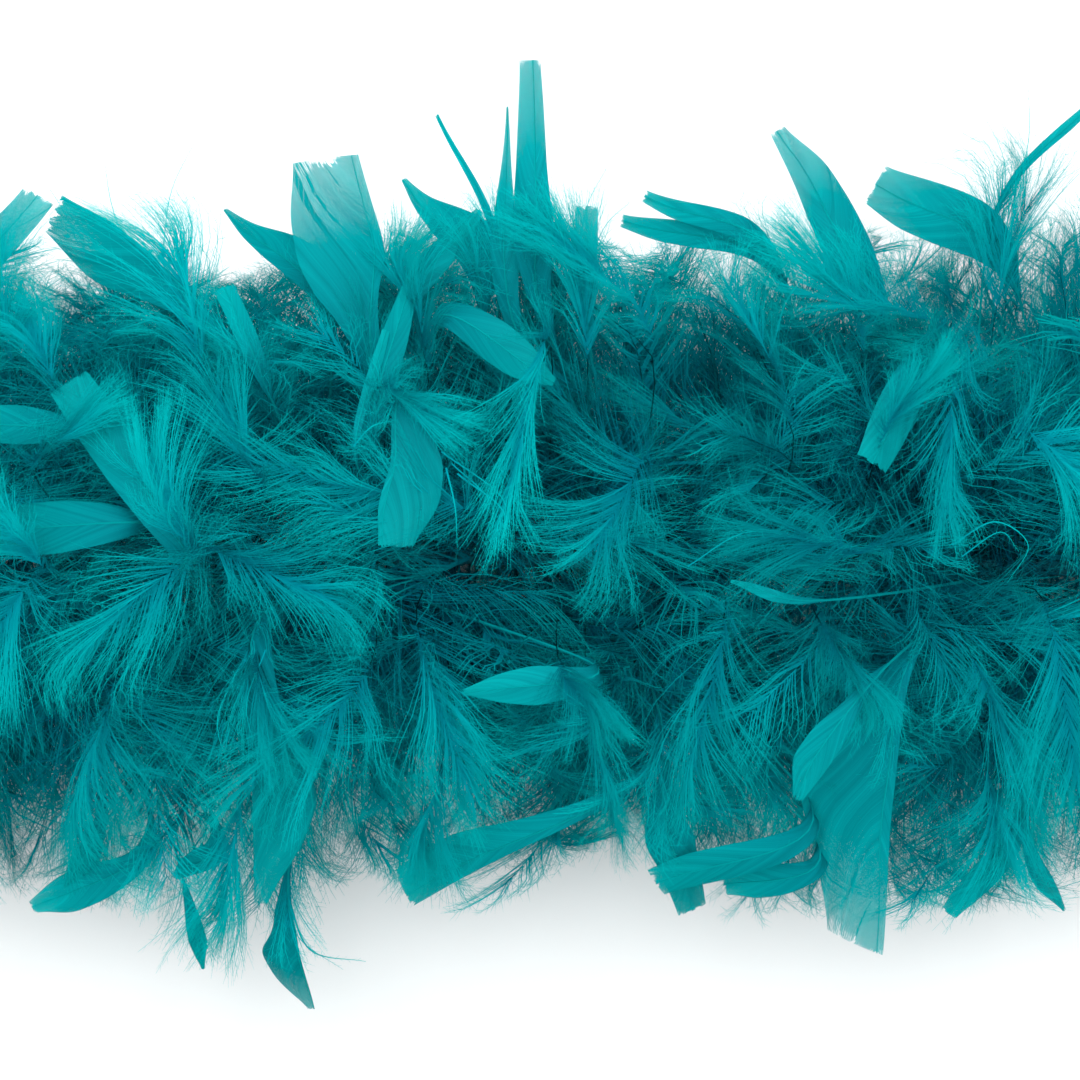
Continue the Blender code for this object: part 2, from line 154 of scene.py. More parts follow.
# Single loose barbs that lie over the rest, in a light tone that is painted highlight: their points, and
# their breadth.
STRANDS = (
    (((-19.1, 19.1, 137), (-17.2, 11, 139.5), (-16.8, 2.7, 137)), 0.4),
    (((-16.8, 17.9, 137), (-7, 9.2, 140), (-11.4, -1.8, 137)), 0.38),
    (((-20.1, 22.4, 136), (-8.1, 13.5, 140), (-7, 7.1, 137)), 0.34),
    (((-18, 20, 136.5), (-10, 12, 139), (-10.2, 3, 137.5)), 0.3),
    (((-38.1, 23.5, 135), (-34, 27.6, 137), (-28.8, 28.9, 135)), 0.36),
    (((84, 3.4, 135), (92.3, 8.1, 138), (99.1, 3.4, 138), (95.4, -4.3, 135)), 0.36),
    (((86, 1, 135), (93.5, 6, 137), (97.5, 2, 136.5)), 0.28),
    (((-58.3, -77, 56), (-53.4, -90.8, 50), (-40.7, -94.1, 46)), 0.6),
    (((-62, -74, 56), (-56, -88, 50), (-46, -96, 46)), 0.34),
    (((-90.4, 68, 92), (-93.5, 78, 93), (-95.3, 87, 90)), 0.26),
    (((-101, 69, 90), (-104, 76, 91), (-108, 82, 88)), 0.26),
    (((-82, 66, 96), (-80, 80, 96), (-75, 92, 92)), 0.24),
    (((8, 64, 100), (10, 76, 100), (15, 86, 97)), 0.26), (((10, 62, 100), (14, 72, 100), (20, 78, 97)), 0.24),
    (((101, 72, 96), (106, 90, 95), (107, 104, 90)), 0.26),
    (((100, 70, 96), (101, 86, 95), (97, 98, 90)), 0.24), (((30, -1, 136), (42, 6, 139), (56, 4, 136)), 0.26),
    (((-60, -20, 135), (-66, -32, 133), (-64, -44, 126)), 0.3),
    (((-56, -18, 135), (-60, -30, 134), (-57, -43, 127)), 0.28),
)
# How far the fluff stands out from the middle run's core, by X: on the far side (+Y) and the near side (-Y).
FAR_REACH = (
    (-150, 68), (-124, 64), (-101, 62), (-78, 55), (-55, 60), (-32, 70), (0, 80), (12, 67), (23, 61),
    (37, 74), (67, 67), (85, 70), (97, 80), (124, 86), (150, 76),
)
NEAR_REACH = (
    (-150, 74), (-124, 76), (-78, 85), (-55, 83), (-37, 69), (-20, 76), (-9, 72), (5, 65), (18, 53), (23, 55),
    (28, 73), (50, 76), (83, 76), (124, 69), (150, 74),
)
UP = np.array((0.0, 0.0, 1.0))
SHADE_COLUMNS = 32
LOWEST = 0.0006
FLOOR_CLEARANCE = 0.0015
FLOOR_SOFTNESS = 0.011
TOP = 0.145
BLADE_TOP = 0.142
DOWN_INNER = 0.062
DOWN_OUTER = 0.090
USUAL_REACH = (DOWN_INNER + DOWN_OUTER) / 2
SOFT_ROOM = DOWN_OUTER - DOWN_INNER
SHOWN_REACH = 0.145
OUTLINE_HALF_LENGTH = 0.15
OUTLINE_HALF_DEPTH = 0.13
CLUMPS = 16
RACHIS_ROWS = 12
BLADE_ROWS = 40
DOWN_BEND_REACH = 0.05
DOWN_QUILL_RADIUS = 0.00026
BLADE_QUILL_RADII = (0.0005, 0.00012)
BLADE_ROOT_RADIUS = 0.0023
VANE_BARB_SPACING = 0.00034
VANE_BARB_STEPS = 7
# Shade columns, from 0 for the darkest tone.
DOWN_QUILL_COLUMN = 12
BLADE_QUILL_COLUMN = 18
# The loose strands' light tone is a painted highlight.
STRAND_HIGHLIGHT_COLUMN = 27


# ---------------------------------------------------------------- the core's route

def metres(millimetres):
    return np.array(millimetres) / 1000


def unit(vectors):
    return vectors / np.maximum(np.linalg.norm(vectors, axis=-1, keepdims=True), 1e-12)


def square_to(vectors, axis):
    """The part of the vectors that is square to the axis."""
    return vectors - axis * (vectors * axis).sum(-1, keepdims=True)


def round_core(across, angle):
    """The way out from the core at an angle round it, 90 degrees being up, and the way on round it."""
    return across * np.cos(angle) + UP * np.sin(angle), UP * np.cos(angle) - across * np.sin(angle)


def smooth_points(route, samples):
    """Points read from one smooth curve through all of the route's points."""
    route = np.asarray(route, float)
    ends = np.vstack((2 * route[0] - route[1], route, 2 * route[-1] - route[-2]))
    t = (np.arange(samples) / samples)[:, None]
    rows = []
    for p0, p1, p2, p3 in zip(ends, ends[1:], ends[2:], ends[3:]):
        a = 2 * p1
        b = (p2 - p0) * t
        c = (2 * p0 - 5 * p1 + 4 * p2 - p3) * t ** 2
        d = (3 * p1 - p0 - 3 * p2 + p3) * t ** 3
        rows.append((a + b + c + d) / 2)
    return np.vstack((*rows, route[-1:]))


class Route:
    """The core's centreline, read by the distance along the boa from its middle."""

    def __init__(self):
        half = [(x, y, CORE_HEIGHT) for x, y in HALF_ROUTE]
        other = [(-x, -y, CORE_HEIGHT) for x, y in HALF_ROUTE[:0:-1]]
        self.points = smooth_points(other + half, 60)
        lengths = np.linalg.norm(np.diff(self.points, axis=0), axis=1)
        self.stations = np.concatenate(((0.0,), np.cumsum(lengths)))
        self.stations -= self.stations[len(self.points) // 2]

    def point(self, station):
        return np.stack([np.interp(station, self.stations, self.points[:, k]) for k in range(3)], axis=-1)

    def along(self, station):
        station = np.asarray(station, float)
        return unit(self.point(station + 0.002) - self.point(station - 0.002))

    def frames(self, station):
        """The centre, the direction along the boa and the level direction across it."""
        along = self.along(station)
        return self.point(station), along, unit(np.cross(along, UP))


def body_at(station):
    side = "right" if station > 0 else "left"
    limits = ((BEND_START, "middle_run"), (BEND_END, side + "_bend"), (TAIL_START, side + "_run"))
    for limit, name in limits:
        if abs(station) <= limit:
            return name
    return side + "_tail"


def bend_across(piece, route, joint, reach):
    """Bakes the piece's place into its mesh; the points at its reach either side of the joint are worked out
    but not used, so nothing bends.
    """
    outward = reach if joint > 0 else -reach
    step = route.along(joint) * outward
    Vector(route.point(joint) - step)
    Vector(route.point(joint) + step)
    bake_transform(piece)


# ---------------------------------------------------------------- materials

def new_material(name):
    made = bpy.data.materials.new(name)
    made.use_nodes = True
    made.node_tree.nodes.clear()
    return made, made.node_tree


def feed(tree, socket, value):
    """Links the socket to another node's output, or sets its value."""
    if isinstance(value, bpy.types.NodeSocket):
        tree.links.new(value, socket)
    else:
        socket.default_value = value


def node(tree, kind, **inputs):
    made = tree.nodes.new(kind)
    for name, value in inputs.items():
        feed(tree, made.inputs[name.replace("_", " ")], value)
    return made


def maths(tree, operation, *values):
    made = tree.nodes.new("ShaderNodeMath")
    made.operation = operation
    for socket, value in zip(made.inputs, values):
        feed(tree, socket, value)
    return made.outputs[0]


def ramp(tree, factor, stops):
    made = tree.nodes.new("ShaderNodeValToRGB")
    tree.links.new(factor, made.inputs[0])
    elements = made.color_ramp.elements
    while len(elements) < len(stops):
        elements.new(0.5)
    for element, (place, colour) in zip(elements, stops):
        element.position = place
        element.color = (*colour, 1.0)
    return made.outputs["Color"]


def multiply(tree, colour, other):
    made = tree.nodes.new("ShaderNodeMix")
    made.data_type = "RGBA"
    made.blend_type = "MULTIPLY"
    made.inputs["Factor"].default_value = 1.0
    tree.links.new(colour, made.inputs["A"])
    tree.links.new(other, made.inputs["B"])
    return made.outputs["Result"]


def plumage_material(name, tones, lengthwise, roughness, gloss, varied=False):
    """Dyed feather that lets light through: a tone for each shade column, lighter along the barb. The tones
    picked for the columns, and the blade's lengthwise ramp, carry painted light and shade as well as the dye.
    """
    made, tree = new_material(name)
    uv = node(tree, "ShaderNodeUVMap")
    uv.uv_map = "OFBake"
    split = node(tree, "ShaderNodeSeparateXYZ", Vector=uv.outputs["UV"])
    column = maths(tree, "FLOOR", maths(tree, "MULTIPLY", split.outputs["X"], SHADE_COLUMNS))
    tone = ramp(tree, maths(tree, "DIVIDE", column, SHADE_COLUMNS - 1), tones)
    colour = multiply(tree, tone, ramp(tree, split.outputs["Y"], lengthwise))
    rough = maths(tree, "MULTIPLY_ADD", split.outputs["Y"], -0.12, roughness) if varied else roughness
    front = node(tree, "ShaderNodeBsdfPrincipled", Base_Color=colour, Roughness=rough,
                 Specular_IOR_Level=gloss)
    behind = node(tree, "ShaderNodeBsdfTranslucent", Color=colour)
    mix = tree.nodes.new("ShaderNodeMixShader")
    for socket, value in zip(mix.inputs, (0.5, front.outputs[0], behind.outputs[0])):
        feed(tree, socket, value)
    node(tree, "ShaderNodeOutputMaterial", Surface=mix.outputs[0])
    return made


def thread_material(name, dark, light, scale):
    """Dyed cotton: fine fibres give it colour variation, roughness and bump."""
    made, tree = new_material(name)
    place = node(tree, "ShaderNodeTexCoord")
    noise = node(tree, "ShaderNodeTexNoise", Vector=place.outputs["Object"], Scale=scale, Detail=6.0)
    colour = ramp(tree, noise.outputs["Fac"], ((0.3, dark), (0.7, light)))
    bump = node(tree, "ShaderNodeBump", Height=noise.outputs["Fac"], Strength=0.5, Distance=0.0003)
    rough = maths(tree, "MULTIPLY_ADD", noise.outputs["Fac"], 0.2, 0.7)
    shader = node(tree, "ShaderNodeBsdfPrincipled", Base_Color=colour, Roughness=rough,
                  Normal=bump.outputs[0], Sheen_Weight=0.02, Specular_IOR_Level=0.15)
    node(tree, "ShaderNodeOutputMaterial", Surface=shader.outputs[0])
    return made


def make_materials():
    down = plumage_material(
        "dyed_down",
        tones=((0.0, (0.0005, 0.160, 0.265)), (0.25, (0.0005, 0.250, 0.325)), (0.55, (0.0005, 0.365, 0.385)),
               (1.0, (0.001, 0.610, 0.600))),
        lengthwise=((0.0, (0.6, 0.62, 0.78)), (0.4, (0.85, 0.88, 0.94)), (1.0, (1.0, 1.0, 1.0))),
        roughness=0.8, gloss=0.0)
    # The blade's lengthwise ramp is painted shade and light: darker at the base, down in the fluff, and
    # lighter towards the tip, where light comes through the thin vane.
    blade = plumage_material(
        "dyed_blade_and_painted_light",
        tones=((0.0, (0.0005, 0.290, 0.310)), (0.5, (0.0005, 0.410, 0.425)), (1.0, (0.001, 0.580, 0.580))),
        lengthwise=((0.0, (0.45, 0.48, 0.58)), (0.35, (0.7, 0.68, 0.76)), (0.7, (0.85, 0.86, 0.90)),
                    (1.0, (1.0, 1.0, 1.0))),
        roughness=0.5, gloss=0.015, varied=True)
    cord = thread_material("dyed_cord", (0.004, 0.10, 0.14), (0.008, 0.20, 0.24), 900.0)
    thread = thread_material("binding_thread", (0.004, 0.07, 0.10), (0.008, 0.15, 0.18), 1500.0)
    return {"down": down, "blade": blade, "core_cord": cord, "binding_thread": thread}


# ---------------------------------------------------------------- meshes

class Batch:
    """Triangles gathered for one piece, each vertex with its place in the shade map."""

    def __init__(self):
        self.points = []
        self.uvs = []
        self.faces = []
        self.normals = []
        self.count = 0

    def add(self, points, uvs, faces, normals=None):
        self.points.append(points.reshape(-1, 3))
        self.uvs.append(uvs.reshape(-1, 2))
        self.faces.append(faces.reshape(-1, 3) + self.count)
        if normals is not None:
            self.normals.append(np.broadcast_to(normals, points.shape).reshape(-1, 3))
        self.count += len(self.points[-1])

    def add_strips(self, pairs, column, v, normals=None):
        """Strips of triangles between pairs of points, (strips, rows, 2, 3), each strip in its own column."""
        strips, rows = pairs.shape[:2]
        v = np.broadcast_to(v, (strips, rows, 2))
        step = np.arange(rows - 1) * 2
        one = np.stack((np.stack((step, step + 1, step + 3), 1), np.stack((step, step + 3, step + 2), 1)), 1)
        faces = one.reshape(1, -1, 3) + (np.arange(strips) * rows * 2)[:, None, None]
        self.add(pairs, shade_uvs(column, (0.0, 1.0), v), faces, normals)

    def build(self, name, materials, slot):
        points = np.concatenate(self.points).astype(np.float32)
        uvs = np.concatenate(self.uvs).astype(np.float32)
        faces = np.concatenate(self.faces).astype(np.int32)
        mesh = bpy.data.meshes.new(name)
        mesh.vertices.add(len(points))
        mesh.vertices.foreach_set("co", points.ravel())
        mesh.loops.add(faces.size)
        mesh.loops.foreach_set("vertex_index", faces.ravel())
        mesh.polygons.add(len(faces))
        mesh.polygons.foreach_set("loop_start", np.arange(0, faces.size, 3, dtype=np.int32))
        mesh.polygons.foreach_set("loop_total", np.full(len(faces), 3, np.int32))
        mesh.polygons.foreach_set("use_smooth", np.ones(len(faces), bool))
        layer = mesh.uv_layers.new(name="OFBake")
        layer.data.foreach_set("uv", uvs[faces.ravel()].ravel())
        mesh.update(calc_edges=True)
        if self.normals:
            mesh.normals_split_custom_set_from_vertices(np.concatenate(self.normals).astype(np.float32))
        mesh.materials.append(materials[slot])
        made = bpy.data.objects.new(name, mesh)
        bpy.context.scene.collection.objects.link(made)
        return made


def shade_uvs(column, share, v):
    """Places in the shade map: share runs from 0 to 1 across a column, and v runs up it."""
    u = (np.reshape(column, (-1, 1, 1)) + 0.15 + 0.7 * np.array(share)) / SHADE_COLUMNS
    return np.stack((np.broadcast_to(u, v.shape), v), axis=-1)


def barbules(batch, rng, centres, sides, normals, column, look):
    """Fine hairs along the barbs, one thin triangle each."""
    n, rows = centres.shape[:2]
    per_barb = look["barbules"]
    place = (np.arange(per_barb)[None, :] + rng.uniform(0.1, 0.9, (n, per_barb))) / per_barb
    place = 0.03 + 0.92 * place
    index = np.minimum((place * (rows - 1)).astype(int), rows - 2)
    share = (place * (rows - 1) - index)[..., None]
    barb = np.arange(n)[:, None]
    start = centres[barb, index] * (1 - share) + centres[barb, index + 1] * share
    along = unit(centres[barb, index + 1] - centres[barb, index])
    hand = np.where(np.arange(per_barb) % 2 == 0, 1.0, -1.0)[None, :, None]
    lean = np.radians(rng.uniform(16, 50, (n, per_barb, 1)))
    out = rng.normal(0, 0.14, (n, per_barb, 3))
    direction = unit(along * np.cos(lean) + hand * sides[barb, index] * np.sin(lean) + out)
    reach = (look["barbule"] * (1.1 - 0.65 * place) * rng.uniform(0.6, 1.25, place.shape))[..., None]
    base = -along * hand * look["barbule_width"] / 2
    end = start + direction * reach
    end[..., 2] = np.maximum(end[..., 2], LOWEST)
    points = np.stack((start - base, start + base, end), axis=2)
    v = np.stack((place, place, np.minimum(place + 0.12, 0.98)), axis=-1)
    faces = np.arange(n * per_barb * 3)
    batch.add(points, shade_uvs(column, (0.0, 1.0, 0.5), v), faces, normals[barb, index][:, :, None])


def slim_tubes(batch, points, radius, corners, upright, column, smooth):
    """Tubes with a few sides round the quills' points, (quills, rows, 3), with a radius for each row."""
    tangent = unit(np.gradient(points, axis=1))
    side = unit(np.cross(tangent, upright))
    up = np.cross(side, tangent)
    around = np.arange(corners) * 2 * math.pi / corners
    outs = [side * math.cos(angle) + up * math.sin(angle) for angle in around]
    v = np.linspace(0.3, 0.95, len(radius))[:, None]
    for out, other in zip(outs, outs[1:] + outs[:1]):
        pairs = np.stack((points + out * radius[:, None], points + other * radius[:, None]), axis=2)
        batch.add_strips(pairs, column, v, np.stack((out, other), axis=2) if smooth else None)


def round_tube(batch, middle, side, up, radius, corners):
    """A tube round the middle's points, through which side and up point square to it."""
    around = np.arange(corners + 1) * 2 * math.pi / corners
    rings = middle[:, None] + (side[:, None] * np.cos(around)[None, :, None]
                               + up[:, None] * np.sin(around)[None, :, None]) * radius
    rows = len(middle)
    index = np.arange(rows * (corners + 1)).reshape(rows, corners + 1)
    a, b, c, d = index[:-1, :-1], index[:-1, 1:], index[1:, 1:], index[1:, :-1]
    faces = np.concatenate((np.stack((a, b, c), -1).reshape(-1, 3), np.stack((a, c, d), -1).reshape(-1, 3)))
    v, u = np.meshgrid(np.linspace(0.02, 0.98, rows), np.linspace(0.02, 0.98, corners + 1), indexing="ij")
    batch.add(rings, np.stack((u, v), axis=-1), faces)


# ---------------------------------------------------------------- plumage

def soft_limit(points, radial, radius):
    """The radius at which the fluff ends: its usual reach, or the middle run's outline seen from above."""
    x = points[..., :1]
    far = np.interp(x, *metres(FAR_REACH).T)
    near = np.interp(x, *metres(NEAR_REACH).T)
    side = radial[..., 1:2] / np.maximum(radius, 1e-9)
    outline = np.where(side > 0, far, near)
    middle = (np.abs(x) < OUTLINE_HALF_LENGTH) & (np.abs(points[..., 1:2]) < OUTLINE_HALF_DEPTH)
    return np.where(middle, USUAL_REACH + (outline - USUAL_REACH) * np.abs(side) ** 1.5, USUAL_REACH)


def settle(points, centre, along, extra=0.0):
    """Keeps the plumage inside its soft outer radius and presses it flat where the boa rests."""
    offset = points - centre
    lengthwise = (offset * along).sum(-1, keepdims=True) * along
    radial = offset - lengthwise
    radius = np.linalg.norm(radial, axis=-1, keepdims=True)
    room = SOFT_ROOM * (1 + 22 * extra)
    inner = soft_limit(points, radial, radius) - SOFT_ROOM / 2 + extra * 0.5
    held = np.where(radius > inner, inner + room * (1 - np.exp(-(radius - inner) / room)), radius)
    points = centre + lengthwise + radial * (held / np.maximum(radius, 1e-9))
    z = points[..., 2]
    low = FLOOR_CLEARANCE + (FLOOR_SOFTNESS - FLOOR_CLEARANCE) * np.exp(
        np.minimum(z - FLOOR_SOFTNESS, 0) / (FLOOR_SOFTNESS - FLOOR_CLEARANCE))
    points[..., 2] = np.where(z < FLOOR_SOFTNESS, low, np.minimum(z, TOP))
    return points


def scattered_feathers(rng, route, start, end, count, length, bends, laid):
    """Curved quills growing out of the core all round, with each root's centre, direction and way out."""
    station = start + (end - start) * (np.arange(count) + rng.uniform(0, 1, count)) / count
    centre, along, across = route.frames(station)
    angle = rng.uniform(0, 2 * math.pi, count)[:, None]
    angle = angle - 0.2 * np.sin(2 * angle)
    outward, onward = round_core(across, angle)
    turn = rng.uniform(0, 2 * math.pi, count)[:, None]
    lean = along * np.cos(turn) + onward * np.sin(turn)
    laid = laid * np.maximum(0, np.sin(angle[:, 0]))
    bend = np.radians(rng.uniform(bends[0] + laid, bends[1] + laid))[:, None, None]
    curl = bend * np.linspace(0, 1, RACHIS_ROWS)[None, :-1, None] ** 0.8
    heading = outward[:, None] * np.cos(curl) + lean[:, None] * np.sin(curl)
    tuft = np.sin(76 * station + 1.6 * angle[:, 0]) + np.sin(133 * station - 2.3 * angle[:, 0] + 1.3)
    reach = length * rng.uniform(0.72, 1.10, count) * (1 + 0.085 * tuft)
    steps = np.cumsum(heading * (reach[:, None, None] / (RACHIS_ROWS - 1)), axis=1)
    root = (centre + outward * (CORE_DIAMETER / 2))[:, None]
    return np.concatenate((root, root + steps), axis=1), centre, along, outward


def placed_feathers(route, bases, tips):
    """Quills from the core through the given base and tip points, in the same terms as the scattered ones."""
    centre, along, _ = route.frames(bases[:, 0])
    points = []
    for middle, out, base, tip in zip(centre, unit(bases - centre), bases, tips):
        curve = smooth_points((middle + out * CORE_DIAMETER / 2, middle + out * 0.03, base, tip), 40)
        points.append(curve[np.linspace(0, len(curve) - 1, RACHIS_ROWS).astype(int)])
    points = np.array(points)
    return points, centre, along, unit(square_to(points[:, -3] - centre, along))


def fluff(batch, rng, rachis, centre, along, outward, look, tone, first=0.10, length=None, spread=None):
    """Soft barbs and barbules along the quills: neighbouring barbs run together in wavy clumps."""
    count, rows = rachis.shape[:2]
    barbs = look["barbs"]
    heading = unit(np.gradient(rachis, axis=1))
    t = np.sort(first + (1 - first) * rng.uniform(0, 1, (count, barbs)) ** 0.8, axis=1)
    own_t = (t - first) / (1 - first)
    place = t * (rows - 1)
    index = np.minimum(place.astype(int), rows - 2)
    share = (place - index)[..., None]
    feather = np.arange(count)[:, None]
    base = rachis[feather, index] * (1 - share) + rachis[feather, index + 1] * share
    quill = heading[feather, index]
    facing = look.get("face", 0.4) * outward[:, None] + 0.5 * rng.normal(0, 1, (count, 1, 3))
    normal = unit(square_to(facing, quill))
    flank = np.cross(normal, quill)
    hand = np.where(rng.uniform(0, 1, (count, barbs, 1)) < 0.5, -1.0, 1.0)
    clump = (np.clip(own_t * CLUMPS + rng.uniform(0, 1, (count, 1)), 0, CLUMPS - 0.001).astype(int) * 2
             + (hand[..., 0] > 0))
    own_clump = rng.normal(0, 1, (count, CLUMPS * 2, 5))[feather, clump]
    widest = 46.0 if spread is None else np.array(spread)[:, None] * 1.1
    splay = widest - 0.65 * widest * own_t + 4.0 * own_clump[..., 0] + rng.normal(0, 2.5, t.shape)
    splay = np.radians(splay)[..., None]
    puff = normal * (0.10 + 0.16 * own_clump[..., 1:2] + rng.normal(0, 0.05, (count, barbs, 1)))
    direction = unit(quill * np.cos(splay) + hand * flank * np.sin(splay) + puff)
    barb = look["barb"] if length is None else length[:, None]
    belly = 0.62 + 0.45 * np.sin(math.pi * np.clip(own_t, 0, 1) ** 0.8)
    reach = barb * belly * rng.uniform(0.8, 1.12, t.shape)
    steps = look["rows"] - 1
    drift = unit(rng.normal(0, 1, (count, 1, 3))) * rng.uniform(0.1, 0.7, (count, 1, 1))
    sway = unit(rng.normal(0, 1, (count, 1, 3)))
    phase = rng.uniform(0, 2 * math.pi, (count, 1)) + 2.2 * own_t + 0.35 * own_clump[..., 2]
    waves = rng.uniform(0.6, 1.5, (count, 1))
    own = 0.10 * own_clump[..., 2:5] + rng.normal(0, 0.04, (count, barbs, 3))
    centres = [base]
    for s in (np.arange(steps) + 0.5) / steps:
        wave = 0.34 * np.sin(phase + waves * math.pi * 2 * s)[..., None]
        heading = unit(direction + drift * s * 1.3 + sway * wave * (0.3 + s) + own * s * 2)
        centres.append(centres[-1] + heading * (reach / steps)[..., None])
    middle = centre[:, None, None]
    axis = along[:, None, None]
    centres = settle(np.stack(centres, axis=2), middle, axis, look.get("extra", 0.0))
    radial = unit(square_to(centres - middle, axis))
    normals = unit(0.8 * normal[:, :, None] + 0.3 * radial).reshape(-1, steps + 1, 3)
    centres = centres.reshape(normals.shape)
    tangents = unit(np.gradient(centres, axis=1))
    sides = unit(np.cross(tangents, normals + rng.normal(0, 0.22, (len(centres), 1, 3))))
    normals = unit(normals + 0.25 * unit(np.cross(sides, tangents)))
    taper = 1 - 0.8 * np.linspace(0, 1, steps + 1)[None]
    widths = look["width"] * taper * rng.uniform(0.75, 1.25, (len(centres), 1))
    height = np.linalg.norm(square_to(base - centre[:, None], along[:, None]), axis=-1)
    shade = 0.05 + 0.28 * own_t + 0.5 * tone[:, None] + 0.04 * own_clump[..., 1]
    # Painted light and shade: barbs that start further out from the core take a lighter tone, standing in for
    # the light that reaches and passes through the outer fluff; those deeper in stay darker.
    shade = shade + rng.normal(0, 0.03, t.shape) + 0.32 * np.clip((height - 0.034) / 0.036, 0, 1)
    column = np.clip(shade * SHADE_COLUMNS, 0, SHADE_COLUMNS - 1).astype(int).ravel()
    ribbons(batch, rng, centres, sides, widths, column, normals, look)
    if look["barbules"] > 2:
        quills(batch, rachis[:, (0, 3, 6, 9, 11)] if count > 20 else rachis, centre, along)


def ribbons(batch, rng, centres, sides, widths, column, normals, look):
    """Barbs as flat tapered ribbons with their barbules: centres, sides and normals are (barbs, rows, 3)."""
    half = sides * widths[..., None] / 2
    v = np.linspace(0.02, 0.98, widths.shape[1])[:, None]
    batch.add_strips(np.stack((centres - half, centres + half), axis=2), column, v, normals[:, :, None])
    barbules(batch, rng, centres, sides, normals, column, look)


def quills(batch, rachis, centre, along):
    """A slim three-sided quill for each feather."""
    points = settle(rachis, centre[:, None], along[:, None])
    radius = DOWN_QUILL_RADIUS * (1 - 0.75 * np.linspace(0, 1, points.shape[1]))
    slim_tubes(batch, points, radius, 3, UP + 0.01, DOWN_QUILL_COLUMN, True)


# The stretch inside the photo's view, and the rest of the boa.
SHOWN = dict(feathers_per_m=2050, length=0.079, barbs=112, barb=0.031, rows=5, width=0.00023, barbules=8,
             barbule=0.0047, barbule_width=0.00014)
PLAIN = dict(feathers_per_m=950, length=0.080, barbs=50, barb=0.032, rows=4, width=0.00080, barbules=3,
             barbule=0.0055, barbule_width=0.00034)
# The shorter feathers nearer the core, which close the view through the boa.
SHOWN_INNER = dict(feathers_per_m=1100, length=0.054, barbs=50, barb=0.024, rows=4, width=0.00064, barbules=2,
                   barbule=0.0060, barbule_width=0.00036)
PLAIN_INNER = dict(SHOWN_INNER, feathers_per_m=800, barbs=42, width=0.00135, barbules=0)
PLUME = dict(face=1.0, extra=0.03, barbs=250, rows=6, width=0.00019, barbules=10, barbule=0.0042,
             barbule_width=0.00010)
STRAND = dict(barbules=30, barbule=0.0022, barbule_width=0.00010)


def whorl_stretches():
    """Each whorl's node, with the stretch of core whose feathers it holds."""
    half = (*MIDDLE_WHORLS, *BEND_WHORLS, *RUN_WHORLS, *TAIL_WHORLS)
    joints = (BEND_START, BEND_END, TAIL_START)
    edges = [half[0] / 2]
    for before, after in zip(half, half[1:]):
        between = [joint for joint in joints if before < joint < after]
        edges.append(between[0] if between else (before + after) / 2)
    edges.append(BOA_LENGTH / 2 - BARE_END)
    names = [("middle_down_whorl_4", "middle_down_whorl_2"), ("middle_down_whorl_5", "middle_down_whorl_1")]
    for stretch, stations in (("bend", BEND_WHORLS), ("run", RUN_WHORLS), ("tail", TAIL_WHORLS)):
        for i in range(len(stations)):
            names.append([f"{side}_{stretch}_down_whorl_{i + 1}" for side in ("right", "left")])
    found = [("middle_down_whorl_3", -edges[0], edges[0])]
    for (right, left), start, end in zip(names, edges, edges[1:]):
        found += [(right, start, end), (left, -end, -start)]
    return found


def near_photo(start, end):
    return max(abs(start), abs(end)) < BEND_START + 0.01


def cross_joint(piece, route, start, end):
    """Rides the piece on its body, or, where its stretch ends at a joint, bakes its place in and leaves it on
    no body.
    """
    for joint in (BEND_START, BEND_END, TAIL_START):
        for signed in (joint, -joint):
            if min(abs(start - signed), abs(end - signed)) < 0.001:
                bend_across(piece, route, signed, DOWN_BEND_REACH)
                return
    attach(piece, body_at((start + end) / 2))


def strand(batch, rng, controls, breadth):
    """One loose barb with its barbules, in a light tone that is painted highlight."""
    centres = smooth_points(controls, 10)[None]
    tangents = unit(np.gradient(centres, axis=1))
    sides = unit(np.cross(tangents, UP))
    widths = breadth * (1 - 0.85 * np.linspace(0, 1, centres.shape[1]))[None]
    ribbons(batch, rng, centres, sides, widths, np.array((STRAND_HIGHLIGHT_COLUMN,)), np.cross(sides, tangents), STRAND)


def placed_plumes(batch, rng, route, start, end):
    """The listed plumes and the soft bases of the blades whose quills grow from this stretch."""
    shown = [plume for plume in PLUMES if start <= plume[0][0] / 1000 < end]
    if shown:
        base, tip, length, spread, tone = zip(*shown)
        feathers = placed_feathers(route, metres(base), metres(tip))
        fluff(batch, rng, *feathers, PLUME, np.array(tone), 0.62, metres(length), spread)
    for controls, breadth in STRANDS:
        if start <= controls[0][0] / 1000 < end:
            strand(batch, rng, metres(controls), breadth / 1000)
    for _, station, neck, tip, *_ in BLADES:
        if start <= station / 1000 < end:
            points, neck_row = blade_centreline(route, station / 1000, metres(neck), metres(tip))
            rachis = points[np.linspace(0, neck_row + 8, RACHIS_ROWS).astype(int)][None]
            centre, along, _ = route.frames(metres([station]))
            outward = unit(square_to(rachis[:, -1] - centre, along))
            fluff(batch, rng, rachis, centre, along, outward, dict(PLUME, barbs=100), np.array((0.6,)), 0.45,
                  np.array((0.022,)), (30.0,))


